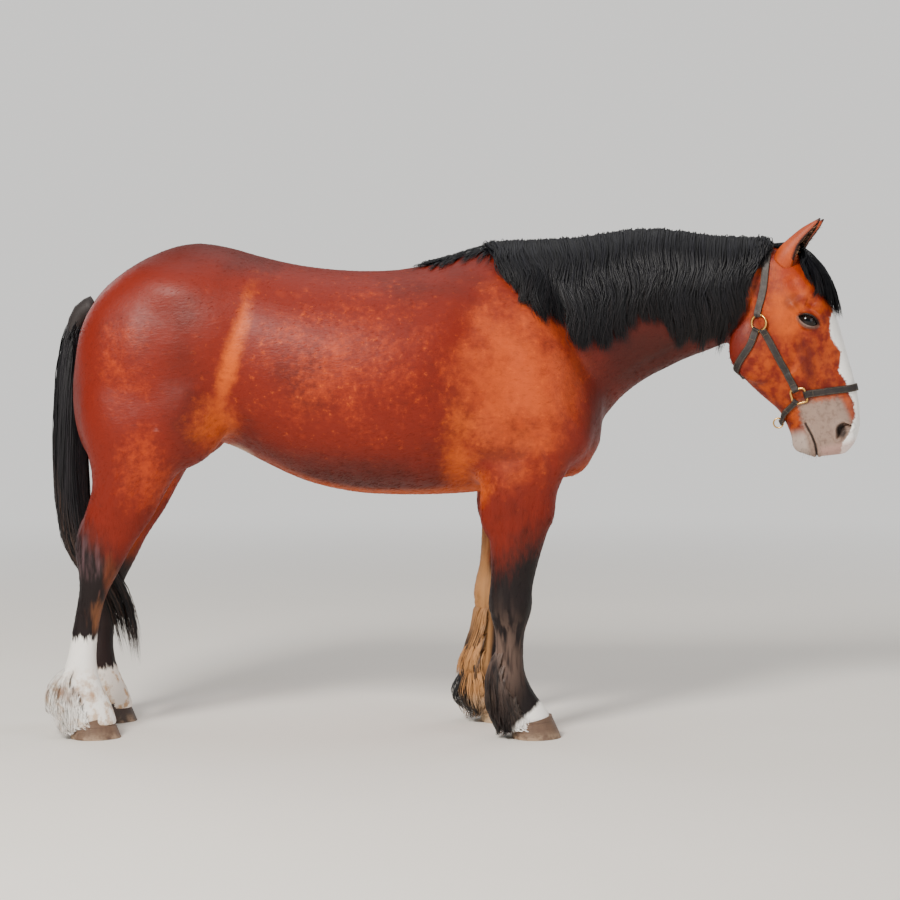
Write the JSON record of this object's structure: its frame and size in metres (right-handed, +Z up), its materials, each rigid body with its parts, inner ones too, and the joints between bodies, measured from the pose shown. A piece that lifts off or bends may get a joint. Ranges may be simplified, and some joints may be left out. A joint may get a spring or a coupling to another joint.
{
  "type": "heavy horse",
  "caption": "A bay draft-type horse with black mane, tail and feathered legs stands still and square in a leather halter, its head turned slightly to its right.",
  "frame": {"origin": "on the floor, under the centre of the whole horse's box", "axes": "+X runs from tail to nose, +Y to the horse's left side, +Z up; the hooves stand at z = 0"},
  "size_m": [2.6934, 0.6966, 1.7138],
  "materials": {
    "bay_coat": "short glossy bay coat",
    "black_points": "black hair of the tail and lower legs",
    "hoof_horn": "matt grey-brown horn",
    "eye": "wet dark eye",
    "halter_leather": "worn dark grey-brown leather",
    "brass": "dull polished brass"
  },
  "bodies": {
    "root": {"cannon_fore_left": "black_points", "cannon_fore_right": "black_points", "cannon_hind_left": "black_points", "cannon_hind_right": "black_points", "ear_left": "bay_coat", "ear_right": "bay_coat", "eye_left": "eye", "eye_right": "eye", "forearm_left": "bay_coat", "forearm_right": "bay_coat", "gaskin_left": "bay_coat", "gaskin_right": "bay_coat", "halter_cheek_left": "halter_leather", "halter_cheek_right": "halter_leather", "halter_chin": "halter_leather", "halter_chin_ring": "brass", "halter_crown": "halter_leather", "halter_noseband": "halter_leather", "halter_ring_left": "brass", "halter_ring_right": "brass", "halter_square_left": "brass", "halter_square_right": "brass", "halter_throat": "halter_leather", "head": "bay_coat", "hoof_fore_left": "hoof_horn", "hoof_fore_right": "hoof_horn", "hoof_hind_left": "hoof_horn", "hoof_hind_right": "hoof_horn", "neck": "bay_coat", "tail": "black_points", "torso": "bay_coat"}
  },
  "joints": []
}
